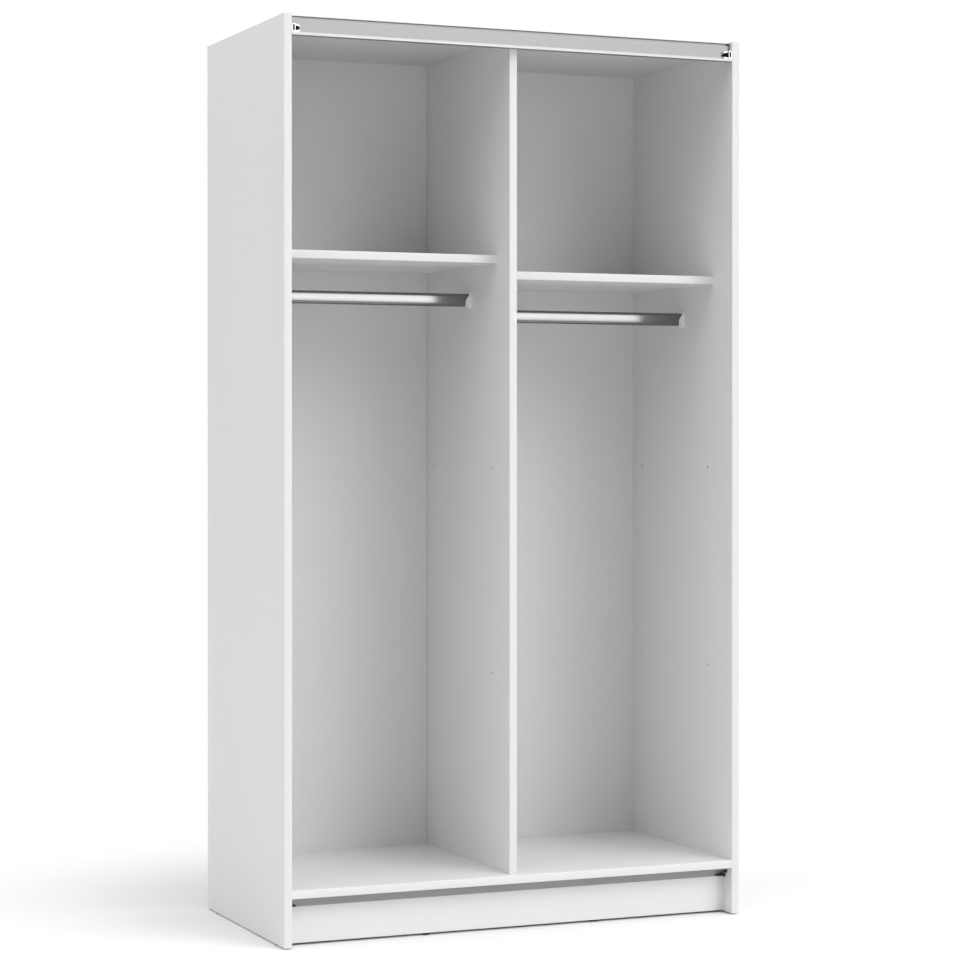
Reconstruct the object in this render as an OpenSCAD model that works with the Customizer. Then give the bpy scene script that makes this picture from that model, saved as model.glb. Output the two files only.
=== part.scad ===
// Two-bay wardrobe carcass for sliding doors: white laminated board, an aluminium
// door track across the top front, a guide rail under the base and chromed
// hanging rails. X runs along the front, Y from front to back and Z up. The origin
// is on the floor, at the middle of the footprint. Inside the modules Y is counted
// from the front plane of the carcass, and in_frame() moves it to the origin.

/* [Carcass] */
// Overall width over the side panels
body_w = 1100; // [1000:10:1500]
// Overall height from the floor to the top of the side panels
body_h = 2000; // [1950:10:2300]
// Overall depth of the side panels
body_d = 545; // [520:5:650]
// Thickness of the laminated board
board_t = 18; // [18:1:22]
// How far the top panel lies below the top of the side panels
top_drop = 4; // [4:1:12]
// Thickness of the plastic edge bands
band_t = 1; // [0.4:0.2:2]
// Clear width of the left bay
left_bay_w = 516; // [420:1:540]

/* [Back] */
// Thickness of the back sheets
back_t = 3; // [3:0.5:4]
// Distance from the rear edges to the back sheets
back_inset = 34; // [20:1:40]
// Depth of the grooves that hold the back sheets
groove_depth = 6; // [5:1:8]

/* [Base] */
// Underside of the base panel above the floor
base_z = 107; // [100:1:150]
// Front plinth behind the carcass front
plinth_setback = 41; // [41:1:60]
// Gap between the plinths and the floor
plinth_gap = 5; // [4:1:10]
// Gap between the side panels and the floor
side_gap = 3; // [2:1:5]
// Plinth glides to the left and right of the middle
plinth_glide_x = 205; // [150:5:300]

/* [Shelves and rails] */
// Underside of the left shelf above the floor
left_shelf_z = 1485; // [1300:5:1600]
// How much lower the right shelf and rail are than the left ones
bay_step = 35; // [32:1:64]
// Shelf front edges behind the carcass front
shelf_setback = 90; // [70:5:150]
// Middle of the hanging rails below the shelf undersides
rail_drop = 76; // [70:1:100]
// Middle of the hanging rails behind the carcass front
rail_y = 248; // [220:1:300]
// Height of the oval tube
tube_h = 30; // [28:1:32]
// Width of the oval tube
tube_w = 15; // [14:1:16]
// Wall of the oval tube
tube_wall = 1.2; // [0.8:0.1:2]

/* [Shelf pin holes] */
// Radius of the pin holes
pin_hole_r = 2.5; // [2.5:0.5:3]
// Front holes behind the carcass front
pin_front_y = 120; // [100:5:150]
// Distance from front holes to rear holes
pin_pitch_y = 340; // [250:10:360]
// Lower row above the floor
pin_low_z = 565; // [400:5:700]
// Distance from the lower row to the upper row
pin_pitch_z = 460; // [300:10:600]

/* [Door track] */
// Depth of the track from its lip to the top panel
track_d = 20; // [20:1:24]
// Height of the track
track_h = 41; // [41:1:50]
// Height of the track's front lip
track_lip_h = 6; // [5:0.5:8]
// Depth of the open channel behind the lip
track_channel_d = 12; // [12:1:14]

/* [Hidden] */
$fn = 48;

// Colours
board_white = [0.93, 0.93, 0.94];
band_white = [0.96, 0.96, 0.96];
back_white = [0.88, 0.88, 0.89];
aluminium = [0.74, 0.75, 0.77];
chrome = [0.85, 0.86, 0.88];
steel = [0.62, 0.63, 0.65];
black = [0.05, 0.05, 0.06];
beech = [0.80, 0.64, 0.44];

// Main planes
inner_x = body_w / 2 - board_t;
divider_x0 = -inner_x + left_bay_w;
divider_x1 = divider_x0 + board_t;
divider_mid_x = (divider_x0 + divider_x1) / 2;
base_top_z = base_z + board_t;
top_z1 = body_h - top_drop;
top_z0 = top_z1 - board_t;
back_y0 = body_d - back_inset - back_t;
back_y1 = back_y0 + back_t;
groove_slack = 0.2;
right_shelf_z = left_shelf_z - bay_step;
left_rail_z = left_shelf_z - rail_drop;
right_rail_z = left_rail_z - bay_step;
shelf_y1 = back_y0 - 0.5;
divider_y1 = back_y0 - 1.2;
plinth_y1 = plinth_setback + board_t;
rear_plinth_y1 = body_d - 57;
rear_plinth_y0 = rear_plinth_y1 - board_t;
pin_rows_y = [pin_front_y, pin_front_y + pin_pitch_y];
pin_rows_z = [pin_low_z, pin_low_z + pin_pitch_z];
pin_hole_depth = 12;

// Cam fittings and dowels at the end of a horizontal panel. The cam's middle lies
// cam_reach from the panel's end, and the bolt screws into the upright panel.
cam_reach = 24;
cam_r = 7.4;
cam_below = 3.2;
bolt_thread_len = 11;
bolt_thread_r = 2.5;
bolt_shank_r = 3;
dowel_r = 4;
dowel_in_upright = 10;
dowel_in_panel = 20;
fit_gap = 0.1;
carcass_cam_y = [90, 430];
carcass_dowel_y = [130, 390];
shelf_cam_y = [shelf_setback + 60, shelf_y1 - 60];
shelf_dowel_y = [shelf_setback + 100, shelf_y1 - 100];
// Each end: face X, direction into the panel, underside Z, cam Y, dowel Y, cam face
top_ends = [
    [-inner_x, 1, top_z0, carcass_cam_y, carcass_dowel_y, 1],
    [inner_x, -1, top_z0, carcass_cam_y, carcass_dowel_y, 1]
];
base_ends = [
    [-inner_x, 1, base_z, carcass_cam_y, carcass_dowel_y, -1],
    [inner_x, -1, base_z, carcass_cam_y, carcass_dowel_y, -1]
];
left_shelf_ends = [
    [-inner_x, 1, left_shelf_z, shelf_cam_y, shelf_dowel_y, -1],
    [divider_x0, -1, left_shelf_z, shelf_cam_y, shelf_dowel_y, -1]
];
right_shelf_ends = [
    [divider_x1, 1, right_shelf_z, shelf_cam_y, shelf_dowel_y, -1],
    [inner_x, -1, right_shelf_z, shelf_cam_y, shelf_dowel_y, -1]
];
shelf_ends = concat(left_shelf_ends, right_shelf_ends);
all_ends = concat(top_ends, base_ends, shelf_ends);

// Divider fixings
divider_front_y = track_d;
divider_screw_y = [80, 450];
divider_dowel_y = [150, 380];
divider_dowel_len = 30;
screw_head_r = 5;
screw_head_h = 4;
screw_shank_r = 3.5;
screw_thread_r = 3.2;
screw_len = 56;

// Plinth fixings
plinth_dowel_z = [32, 80];
bracket_x = [-360, 60, 360];
bracket_size = 20;
bracket_t = 2.5;

// Small pan-head screw
small_r = 1.75;
small_head_r = 3.3;
small_head_h = 1.8;

// Back sheets and the H-shaped strip that joins them
strip_web_t = 1.2;
strip_front_w = 15;
strip_rear_w = 24;
sheet_z0 = base_z - 3;
sheet_z1 = top_z0 + groove_depth - 0.5;
sheet_x1 = inner_x + groove_depth - 0.5;

// Nails of the back sheets
nail_r = 0.8;
nail_len = 20;
nail_head_r = 2.2;
nail_head_h = 0.8;
nail_x = [-450, -350, -250, -150, -60, 60, 150, 250, 350, 450];
nail_z = base_z + board_t / 2;

// Rail sockets, from the middle of the tube
socket_w = 20;
socket_plate_t = 2.5;
socket_up = 17;
socket_down = 19;
socket_reach = 13;
socket_wall = 1.9;
socket_slack = 0.2;
socket_screw_z = [tube_h / 2 + 6, -tube_w / 2];
socket_screw_len = 14;
tube_end_gap = 1;

// Door track
track_z0 = top_z0 - (track_h - board_t);
track_z1 = top_z1;
track_wall = 1.6;
track_lip_t = 2;
track_groove_h = 5;
track_flange_t = 1.2;
track_flange_y1 = 50;
track_end_gap = 0.2;
track_screw_x = [-500, -250, 0, 250, 500];
track_screw_y = 36;

// Door stops, from the inner face of the side panel
stop_gap = 0.6;
stop_len = 8.6;
stop_h = 18;
stop_arm_end = 20.5;
stop_y = 6.6;
stop_play = 0.3;
stop_slot = [2.7, 7.2];
stop_slot_depth = 3.5;
bumper_r = 4.8;
bumper_tip_r = 1.8;
bumper_end = 19.5;
bumper_stem_r = 2.4;

// Guide rail under the base
guide_h = 23;
guide_wall = 1.5;
guide_y0 = 20;
guide_lip_h = 6;
guide_end_gap = 3;
guide_screw_x = [-480, -240, 30, 240, 480];
guide_screw_y = 30;

// Glides
glide_r = 9;
glide_nail_r = 1;
glide_nail_len = 14;
side_glide_front_y = [59, 31];
side_glide_rear_y = body_d - 67;

// Moves the carcass from front-plane Y to the origin in the middle of its depth
module in_frame() {
    translate([0, -body_d / 2, 0])
        children();
}

// A block between its low corner and its high corner
module block(low, high) {
    translate(low)
        cube(high - low);
}

// A round rod along X, between x0 and x1
module rod_x(r, x0, x1) {
    translate([min(x0, x1), 0, 0])
        rotate([0, 90, 0])
            cylinder(r = r, h = abs(x1 - x0));
}

// A Y-Z profile drawn out along X
module profile_x(x0, x1) {
    translate([x0, 0, 0])
        rotate([90, 0, 90])
            linear_extrude(x1 - x0)
                children();
}

// A rectangle of a profile between its low corner and its high corner
module bar(low, high) {
    translate(low)
        square(high - low);
}

// A plain screw pointing down: thread below z = 0, pan head above it
module pan_screw(len) {
    translate([0, 0, -len])
        cylinder(r = small_r, h = len);
    difference() {
        cylinder(r1 = small_head_r, r2 = small_head_r - 0.9, h = small_head_h);
        for (turn = [0, 90])
            rotate(turn)
                translate([0, 0, small_head_h])
                    cube([3.6, 0.8, 2], center = true);
    }
}

// Pilot hole of that screw
module pan_screw_void(len) {
    translate([0, 0, -len - fit_gap])
        cylinder(r = small_r + fit_gap, h = len + fit_gap + 5);
}

// ---- Cam fittings ----------------------------------------------------------

// Places children at every cam of the listed panel ends, with +X into the panel
module at_cams(ends) {
    for (e = ends)
        for (y = e[3])
            translate([e[0], y, e[2] + board_t / 2])
                mirror([e[1] > 0 ? 0 : 1, 0, 0])
                    mirror([0, 0, e[5] > 0 ? 0 : 1])
                        children();
}

// Places children at every dowel of the listed panel ends, with +X into the panel
module at_dowels(ends) {
    for (e = ends)
        for (y = e[4])
            translate([e[0], y, e[2] + board_t / 2])
                mirror([e[1] > 0 ? 0 : 1, 0, 0])
                    children();
}

module dowel_x(gap = 0) {
    rod_x(dowel_r + gap, -dowel_in_upright - gap, dowel_in_panel + gap);
}

// Bores of all fittings at the listed panel ends, in both panels
module fitting_voids(ends) {
    at_cams(ends) {
        rod_x(bolt_thread_r + fit_gap, -bolt_thread_len - fit_gap, 0.01);
        rod_x(bolt_shank_r + 0.5, 0, cam_reach);
        translate([cam_reach, 0, -cam_below - fit_gap])
            cylinder(r = cam_r + fit_gap, h = board_t);
    }
    at_dowels(ends)
        dowel_x(fit_gap);
}

module cam_lock() {
    cam_top = board_t / 2 - 0.3;
    difference() {
        translate([cam_reach, 0, -cam_below])
            cylinder(r = cam_r, h = cam_top + cam_below);
        rod_x(2.2, 10, cam_reach - 3);
        rod_x(3.6, cam_reach - 3.4, cam_reach + 3.2);
        for (turn = [0, 90])
            translate([cam_reach, 0, cam_top])
                rotate(turn)
                    cube([8, 1.4, 5], center = true);
    }
}

module cam_bolt() {
    rod_x(bolt_thread_r, -bolt_thread_len, 0);
    rod_x(bolt_shank_r, 0, 15);
    rod_x(1.8, 15, cam_reach - 3);
    rod_x(3.2, cam_reach - 3, cam_reach + 2);
}

module cam_locks() {
    in_frame()
        color(steel)
            at_cams(all_ends)
                cam_lock();
}

module cam_bolts() {
    in_frame()
        color(steel)
            at_cams(all_ends)
                cam_bolt();
}

module wood_dowels() {
    in_frame()
        color(beech)
            at_dowels(all_ends)
                dowel_x();
}

// White plastic caps over the cams on the undersides of the shelves
module shelf_cam_caps() {
    in_frame()
        color(band_white)
            at_cams(shelf_ends)
                translate([cam_reach, 0, board_t / 2])
                    cylinder(r1 = cam_r + 1.1, r2 = cam_r + 0.5, h = 0.9);
}

// ---- Panels ----------------------------------------------------------------

module pin_holes(x0, x1) {
    for (y = pin_rows_y)
        for (z = pin_rows_z)
            translate([0, y, z])
                rod_x(pin_hole_r, x0, x1);
}

module plinth_dowel_places() {
    for (y = [plinth_setback + board_t / 2, rear_plinth_y0 + board_t / 2])
        for (z = plinth_dowel_z)
            for (side = [-1, 1])
                translate([side * inner_x, y, z])
                    mirror([side > 0 ? 1 : 0, 0, 0])
                        children();
}

module side_glide_places() {
    for (side = [-1, 1])
        for (y = [side_glide_front_y[side < 0 ? 0 : 1], side_glide_rear_y])
            translate([side * (inner_x + board_t / 2), y, side_gap])
                children();
}

module plinth_glide_places() {
    for (y = [plinth_setback + board_t / 2, rear_plinth_y0 + board_t / 2])
        for (x = [-plinth_glide_x, plinth_glide_x])
            translate([x, y, plinth_gap])
                children();
}

module glide_nail(gap = 0) {
    cylinder(r = glide_nail_r + gap, h = glide_nail_len + gap);
}

// Both side panels are made as the left one or as its mirror image
module side_panel(side) {
    outer = side * body_w / 2;
    inner = side * inner_x;
    groove_x = side * (inner_x + groove_depth);
    difference() {
        block([min(outer, inner), band_t, side_gap], [max(outer, inner), body_d, body_h]);
        block([min(inner - side, groove_x), back_y0 - groove_slack, 0],
              [max(inner - side, groove_x), back_y1 + groove_slack, body_h + 1]);
        pin_holes(inner - side, inner + side * pin_hole_depth);
        fitting_voids(concat(top_ends, base_ends, side < 0 ? [left_shelf_ends[0]] : [right_shelf_ends[1]]));
        plinth_dowel_places()
            dowel_x(fit_gap);
        side_glide_places()
            glide_nail(0.05);
        if (side < 0)
            socket_frame(-inner_x, 1, left_rail_z)
                socket_screw_voids();
        else
            socket_frame(inner_x, -1, right_rail_z)
                socket_screw_voids();
    }
}

module side_panel_left() {
    in_frame()
        color(board_white)
            side_panel(-1);
}

module side_panel_right() {
    in_frame()
        color(board_white)
            side_panel(1);
}

module divider_screw_places() {
    for (y = divider_screw_y) {
        translate([divider_mid_x, y, top_z1])
            children();
        translate([divider_mid_x, y, base_z])
            mirror([0, 0, 1])
                children();
    }
}

// Connecting screw with its head flush at z = 0, pointing down
module divider_screw(gap = 0) {
    translate([0, 0, -screw_head_h - gap])
        cylinder(r = screw_head_r + gap, h = screw_head_h + gap);
    translate([0, 0, -board_t])
        cylinder(r = screw_shank_r + gap, h = board_t - 1);
    translate([0, 0, -screw_len - gap])
        cylinder(r = screw_thread_r + gap, h = screw_len - 1);
}

module divider_dowel_places() {
    for (y = divider_dowel_y) {
        translate([divider_mid_x, y, top_z0])
            children();
        translate([divider_mid_x, y, base_top_z])
            mirror([0, 0, 1])
                children();
    }
}

// Dowel with 12 mm above the joint at z = 0 and the rest below it
module divider_dowel(gap = 0) {
    translate([0, 0, 12 - divider_dowel_len - gap])
        cylinder(r = dowel_r + gap, h = divider_dowel_len + 2 * gap);
}

module divider_voids() {
    divider_screw_places()
        divider_screw(fit_gap);
    divider_dowel_places()
        divider_dowel(fit_gap);
}

module top_panel() {
    in_frame()
        color(board_white)
            difference() {
                block([-inner_x, track_d, top_z0], [inner_x, body_d, top_z1]);
                block([-inner_x - 1, back_y0 - groove_slack, top_z0 - 1],
                      [inner_x + 1, back_y1 + groove_slack, top_z0 + groove_depth]);
                fitting_voids(top_ends);
                divider_voids();
                track_screw_places()
                    pan_screw_void(12);
            }
}

module base_panel() {
    in_frame()
        color(board_white)
            difference() {
                block([-inner_x, band_t, base_z], [inner_x, back_y0, base_top_z]);
                fitting_voids(base_ends);
                divider_voids();
                nail_places()
                    nail_void();
                guide_screw_places()
                    pan_screw_void(12);
                bracket_base_screw_places()
                    pan_screw_void(12);
            }
}

module divider_panel() {
    in_frame()
        color(board_white)
            difference() {
                block([divider_x0, divider_front_y + band_t, base_top_z], [divider_x1, divider_y1, top_z0]);
                pin_holes(divider_x0 - 1, divider_x1 + 1);
                fitting_voids([left_shelf_ends[1], right_shelf_ends[0]]);
                divider_voids();
                socket_frame(divider_x0, -1, left_rail_z)
                    socket_screw_voids();
                socket_frame(divider_x1, 1, right_rail_z)
                    socket_screw_voids();
            }
}

module side_edge_band(side) {
    outer = side * body_w / 2;
    inner = side * inner_x;
    block([min(outer, inner), 0, side_gap], [max(outer, inner), band_t, body_h]);
}

module side_edge_band_left() {
    in_frame()
        color(band_white)
            side_edge_band(-1);
}

module side_edge_band_right() {
    in_frame()
        color(band_white)
            side_edge_band(1);
}

module divider_edge_band() {
    in_frame()
        color(band_white)
            block(
                [divider_x0, divider_front_y, base_top_z],
                [divider_x1, divider_front_y + band_t, top_z0]
            );
}

module base_edge_band() {
    in_frame()
        color(band_white)
            block([-inner_x, 0, base_z], [inner_x, band_t, base_top_z]);
}

// ---- Plinths ---------------------------------------------------------------

module plinth(y0) {
    difference() {
        block([-inner_x, y0, plinth_gap], [inner_x, y0 + board_t, base_z]);
        plinth_dowel_places()
            dowel_x(fit_gap);
        plinth_glide_places()
            glide_nail(0.05);
        bracket_plinth_screw_places()
            pan_screw_void(12);
    }
}

module plinth_front() {
    in_frame()
        color(board_white)
            plinth(plinth_setback);
}

module plinth_rear() {
    in_frame()
        color(board_white)
            plinth(rear_plinth_y0);
}

module plinth_dowels() {
    in_frame()
        color(beech)
            plinth_dowel_places()
                dowel_x();
}

// Brackets stand in the corner under the base, behind the front plinth and in front
// of the rear one. Inside the bracket +Y points away from the plinth.
module bracket_places() {
    for (x = bracket_x) {
        translate([x, plinth_y1, base_z])
            children();
        translate([x, rear_plinth_y0, base_z])
            mirror([0, 1, 0])
                children();
    }
}

module bracket_base_screw_places() {
    bracket_places()
        translate([0, bracket_size * 0.6, -bracket_t])
            mirror([0, 0, 1])
                children();
}

module bracket_plinth_screw_places() {
    bracket_places()
        translate([0, bracket_t, -bracket_size * 0.6])
            rotate([-90, 0, 0])
                children();
}

module bracket() {
    half = bracket_size / 2;
    difference() {
        union() {
            block([-half, 0, -bracket_size], [half, bracket_t, 0]);
            block([-half, 0, -bracket_t], [half, bracket_size, 0]);
            for (x = [-half, half - 2])
                translate([x, 0, 0])
                    rotate([90, 0, 90])
                        linear_extrude(2)
                            polygon([[0, 0], [bracket_size, 0], [0, -bracket_size]]);
        }
        translate([0, bracket_size * 0.6, -bracket_t - 1])
            cylinder(r = small_r + fit_gap, h = bracket_t + 2);
        translate([0, -1, -bracket_size * 0.6])
            rotate([-90, 0, 0])
                cylinder(r = small_r + fit_gap, h = bracket_t + 2);
    }
}

module plinth_brackets() {
    in_frame()
        color(band_white)
            bracket_places()
                bracket();
}

module plinth_bracket_screws() {
    in_frame()
        color(steel) {
            bracket_base_screw_places()
                pan_screw(12);
            bracket_plinth_screw_places()
                pan_screw(12);
        }
}

// ---- Back ------------------------------------------------------------------

// A back sheet from x0 to x1
module back_sheet(x0, x1) {
    difference() {
        block([x0, back_y0, sheet_z0], [x1, back_y1, sheet_z1]);
        nail_places()
            nail_void();
    }
}

module back_sheet_left() {
    in_frame()
        color(back_white)
            back_sheet(-sheet_x1, divider_mid_x - strip_web_t / 2 - 0.2);
}

module back_sheet_right() {
    in_frame()
        color(back_white)
            back_sheet(divider_mid_x + strip_web_t / 2 + 0.2, sheet_x1);
}

// The strip's edge stands behind the divider and its web between the sheets
module back_joining_strip() {
    in_frame()
        color(band_white)
            translate([divider_mid_x, 0, base_top_z + 0.2])
                linear_extrude(top_z0 - base_top_z - 0.4) {
                    bar([-strip_web_t / 2, back_y0 - 0.5], [strip_web_t / 2, back_y1 + 0.5]);
                    bar([-strip_front_w / 2, back_y0 - 1], [strip_front_w / 2, back_y0]);
                    bar([-strip_rear_w / 2, back_y1], [strip_rear_w / 2, back_y1 + 1]);
                }
}

module nail_places() {
    for (x = nail_x)
        translate([x, back_y1, nail_z])
            rotate([90, 0, 0])
                children();
}

module nail_void() {
    translate([0, 0, -1])
        cylinder(r = nail_r + 0.05, h = nail_len + 1.1);
}

module back_nails() {
    in_frame()
        color(steel)
            nail_places() {
                cylinder(r = nail_r, h = nail_len);
                translate([0, 0, -nail_head_h])
                    cylinder(r = nail_head_r, h = nail_head_h);
            }
}

// ---- Shelves ---------------------------------------------------------------

module shelf(x0, x1, z, ends) {
    difference() {
        block([x0, shelf_setback + band_t, z], [x1, shelf_y1, z + board_t]);
        fitting_voids(ends);
    }
}

module shelf_left() {
    in_frame()
        color(board_white)
            shelf(-inner_x, divider_x0, left_shelf_z, left_shelf_ends);
}

module shelf_right() {
    in_frame()
        color(board_white)
            shelf(divider_x1, inner_x, right_shelf_z, right_shelf_ends);
}

module shelf_edge_band_left() {
    in_frame()
        color(band_white)
            block([-inner_x, shelf_setback, left_shelf_z],
                  [divider_x0, shelf_setback + band_t, left_shelf_z + board_t]);
}

module shelf_edge_band_right() {
    in_frame()
        color(band_white)
            block([divider_x1, shelf_setback, right_shelf_z],
                  [inner_x, shelf_setback + band_t, right_shelf_z + board_t]);
}

// ---- Divider fixings -------------------------------------------------------

module divider_screws() {
    in_frame()
        color(steel)
            divider_screw_places()
                difference() {
                    divider_screw();
                    translate([0, 0, -2.5])
                        cylinder(r = 2.3, h = 3, $fn = 6);
                }
}

module divider_dowels() {
    in_frame()
        color(beech)
            divider_dowel_places()
                divider_dowel();
}

// ---- Hanging rails and sockets ---------------------------------------------

// Puts a socket's own frame on an upright face: +X away from the face, origin at
// the middle of the tube
module socket_frame(x, dir, z) {
    translate([x, rail_y, z])
        mirror([dir > 0 ? 0 : 1, 0, 0])
            children();
}

// Upright oval outline with round ends
module oval(w, h) {
    bar([-w / 2, -(h - w) / 2], [w / 2, (h - w) / 2]);
    for (side = [-1, 1])
        translate([0, side * (h - w) / 2])
            circle(r = w / 2);
}

module hanging_rail(x0, x1, z) {
    end = socket_plate_t + tube_end_gap;
    translate([0, rail_y, z])
        profile_x(x0 + end, x1 - end)
            difference() {
                oval(tube_w, tube_h);
                oval(tube_w - 2 * tube_wall, tube_h - 2 * tube_wall);
            }
}

module hanging_rail_left() {
    in_frame()
        color(chrome)
            hanging_rail(-inner_x, divider_x0, left_rail_z);
}

module hanging_rail_right() {
    in_frame()
        color(chrome)
            hanging_rail(divider_x1, inner_x, right_rail_z);
}

module socket_screw_places() {
    for (z = socket_screw_z)
        translate([socket_plate_t, 0, z])
            rotate([0, 90, 0])
                children();
}

// Countersunk screw pointing down, its head flush at z = 0
module flat_screw(len, gap = 0) {
    translate([0, 0, -len - gap])
        cylinder(r = small_r + gap, h = len + gap);
    translate([0, 0, -1.8])
        cylinder(r1 = small_r + gap, r2 = small_r + 1.8 + gap, h = 1.8 + gap);
}

module socket_screw_voids() {
    socket_screw_places()
        flat_screw(socket_screw_len, fit_gap);
}

// Wall plate with a round tab at the top and an open-topped cradle for the tube
module rail_socket() {
    cradle_r = tube_w / 2 + socket_slack;
    cradle_z = -(tube_h - tube_w) / 2;
    difference() {
        union() {
            profile_x(0, socket_plate_t) {
                bar([-socket_w / 2, -socket_down], [socket_w / 2, socket_up]);
                translate([0, socket_up])
                    circle(r = socket_w / 2);
            }
            difference() {
                profile_x(socket_plate_t, socket_reach)
                    difference() {
                        union() {
                            translate([0, cradle_z])
                                circle(r = cradle_r + socket_wall);
                            bar([-cradle_r - socket_wall, cradle_z], [cradle_r + socket_wall, tube_h / 2]);
                        }
                        translate([0, cradle_z])
                            circle(r = cradle_r);
                        bar([-cradle_r, cradle_z], [cradle_r, tube_h / 2 + 1]);
                    }
                translate([0, socket_w, 0])
                    rotate([90, 0, 0])
                        linear_extrude(2 * socket_w)
                            polygon([
                                [socket_plate_t, tube_h / 2],
                                [socket_reach + 1, -1.5],
                                [socket_reach + 1, tube_h],
                                [socket_plate_t, tube_h]
                            ]);
            }
        }
        socket_screw_voids();
    }
}

module rail_socket_left_outer() {
    in_frame()
        color(chrome)
            socket_frame(-inner_x, 1, left_rail_z)
                rail_socket();
}

module rail_socket_left_inner() {
    in_frame()
        color(chrome)
            socket_frame(divider_x0, -1, left_rail_z)
                rail_socket();
}

module rail_socket_right_inner() {
    in_frame()
        color(chrome)
            socket_frame(divider_x1, 1, right_rail_z)
                rail_socket();
}

module rail_socket_right_outer() {
    in_frame()
        color(chrome)
            socket_frame(inner_x, -1, right_rail_z)
                rail_socket();
}

module socket_screw_pair() {
    socket_screw_places()
        difference() {
            flat_screw(socket_screw_len);
            for (turn = [0, 90])
                rotate(turn)
                    cube([3.4, 0.7, 2.4], center = true);
        }
}

module socket_screws_left() {
    in_frame()
        color(steel) {
            socket_frame(-inner_x, 1, left_rail_z)
                socket_screw_pair();
            socket_frame(divider_x0, -1, left_rail_z)
                socket_screw_pair();
        }
}

module socket_screws_right() {
    in_frame()
        color(steel) {
            socket_frame(divider_x1, 1, right_rail_z)
                socket_screw_pair();
            socket_frame(inner_x, -1, right_rail_z)
                socket_screw_pair();
        }
}

// ---- Door track ------------------------------------------------------------

module track_screw_places() {
    for (x = track_screw_x)
        translate([x, track_screw_y, track_z1 + track_flange_t])
            children();
}

// Extruded track: floor with a front lip, hollow back box, dark groove and a top
// flange that lies on the top panel
module track_profile() {
    box_z1 = track_z1 - track_groove_h;
    bar([0, track_z0], [track_d, track_z0 + track_lip_t]);
    bar([0, track_z0], [track_lip_t, track_z0 + track_lip_h]);
    difference() {
        bar([track_channel_d, track_z0], [track_d, box_z1]);
        bar(
            [track_channel_d + track_wall, track_z0 + track_lip_t],
            [track_d - track_wall, box_z1 - track_wall]
        );
    }
    bar([track_d - track_wall, track_z0], [track_d, track_z1 + track_flange_t]);
    bar([track_channel_d - 1, track_z1], [track_flange_y1, track_z1 + track_flange_t]);
}

module top_track() {
    in_frame()
        color(aluminium)
            difference() {
                profile_x(-inner_x + track_end_gap, inner_x - track_end_gap)
                    track_profile();
                track_screw_places()
                    translate([0, 0, -5])
                        cylinder(r = small_r + fit_gap, h = 10);
            }
}

module top_track_screws() {
    in_frame()
        color(steel)
            track_screw_places()
                pan_screw(12);
}

// A stop's own frame starts at the inner face of a side panel, with +X inwards and
// z = 0 on top of the track's lip
module stop_frame(side) {
    translate([side * inner_x, 0, track_z0 + track_lip_h])
        mirror([side > 0 ? 1 : 0, 0, 0])
            children();
}

module door_stop_body(side) {
    channel_y0 = track_lip_t + stop_play;
    channel_y1 = track_channel_d - stop_play;
    foot_z = track_lip_t - track_lip_h + stop_play;
    arm_t = 1.8;
    stop_frame(side)
        difference() {
            union() {
                block([stop_gap, channel_y0, foot_z], [stop_len, channel_y1, stop_play + 1]);
                block([stop_gap, 0.5, stop_play], [stop_len, channel_y1, stop_h]);
                translate([0, channel_y1 - 2, 0])
                    rotate([90, 0, 0])
                        linear_extrude(5)
                            polygon([
                                [stop_len - 1, stop_h - arm_t - 1.2],
                                [stop_arm_end, stop_h - 5],
                                [stop_arm_end, stop_h - 3.6],
                                [stop_len + 4, stop_h - 0.6],
                                [stop_len - 1, stop_h]
                            ]);
                translate([0, channel_y1 - 2, 0])
                    rotate([90, 0, 0])
                        linear_extrude(5)
                            polygon([
                                [stop_len - 1, stop_play],
                                [stop_len + 4, stop_play],
                                [stop_arm_end, 2.6],
                                [stop_arm_end, 4],
                                [stop_len - 1, stop_play + arm_t + 1.5]
                            ]);
            }
            block([stop_slot[0], 0, 3], [stop_slot[1], stop_slot_depth, stop_h - 2]);
            translate([0, stop_y, stop_h / 2 + 0.2])
                rod_x(bumper_stem_r + 0.05, stop_len - 3, stop_len + 1);
        }
}

module door_stop_bumper(side) {
    cone_x = stop_len + 4;
    stop_frame(side)
        translate([0, stop_y, stop_h / 2 + 0.2]) {
            rod_x(bumper_stem_r, stop_len - 2.9, stop_len + 0.5);
            rod_x(bumper_r, stop_len, cone_x);
            translate([cone_x, 0, 0])
                rotate([0, 90, 0])
                    cylinder(r1 = bumper_r, r2 = bumper_tip_r, h = bumper_end - cone_x - 1);
            rod_x(bumper_tip_r, bumper_end - 2, bumper_end);
        }
}

module door_stop_strip(side) {
    stop_frame(side)
        block(
            [stop_slot[0] + 0.05, 0.9, 3.05],
            [stop_slot[1] - 0.05, stop_slot_depth - 0.05, stop_h - 2.05]
        );
}

module door_stop_body_left() {
    in_frame()
        color(chrome)
            door_stop_body(-1);
}

module door_stop_bumper_left() {
    in_frame()
        color(black)
            door_stop_bumper(-1);
}

module door_stop_strip_left() {
    in_frame()
        color(black)
            door_stop_strip(-1);
}

module door_stop_body_right() {
    in_frame()
        color(chrome)
            door_stop_body(1);
}

module door_stop_bumper_right() {
    in_frame()
        color(black)
            door_stop_bumper(1);
}

module door_stop_strip_right() {
    in_frame()
        color(black)
            door_stop_strip(1);
}

// ---- Guide rail ------------------------------------------------------------

module guide_screw_places() {
    for (x = guide_screw_x)
        translate([x, guide_screw_y, base_z - guide_wall])
            mirror([0, 0, 1])
                children();
}

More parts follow.
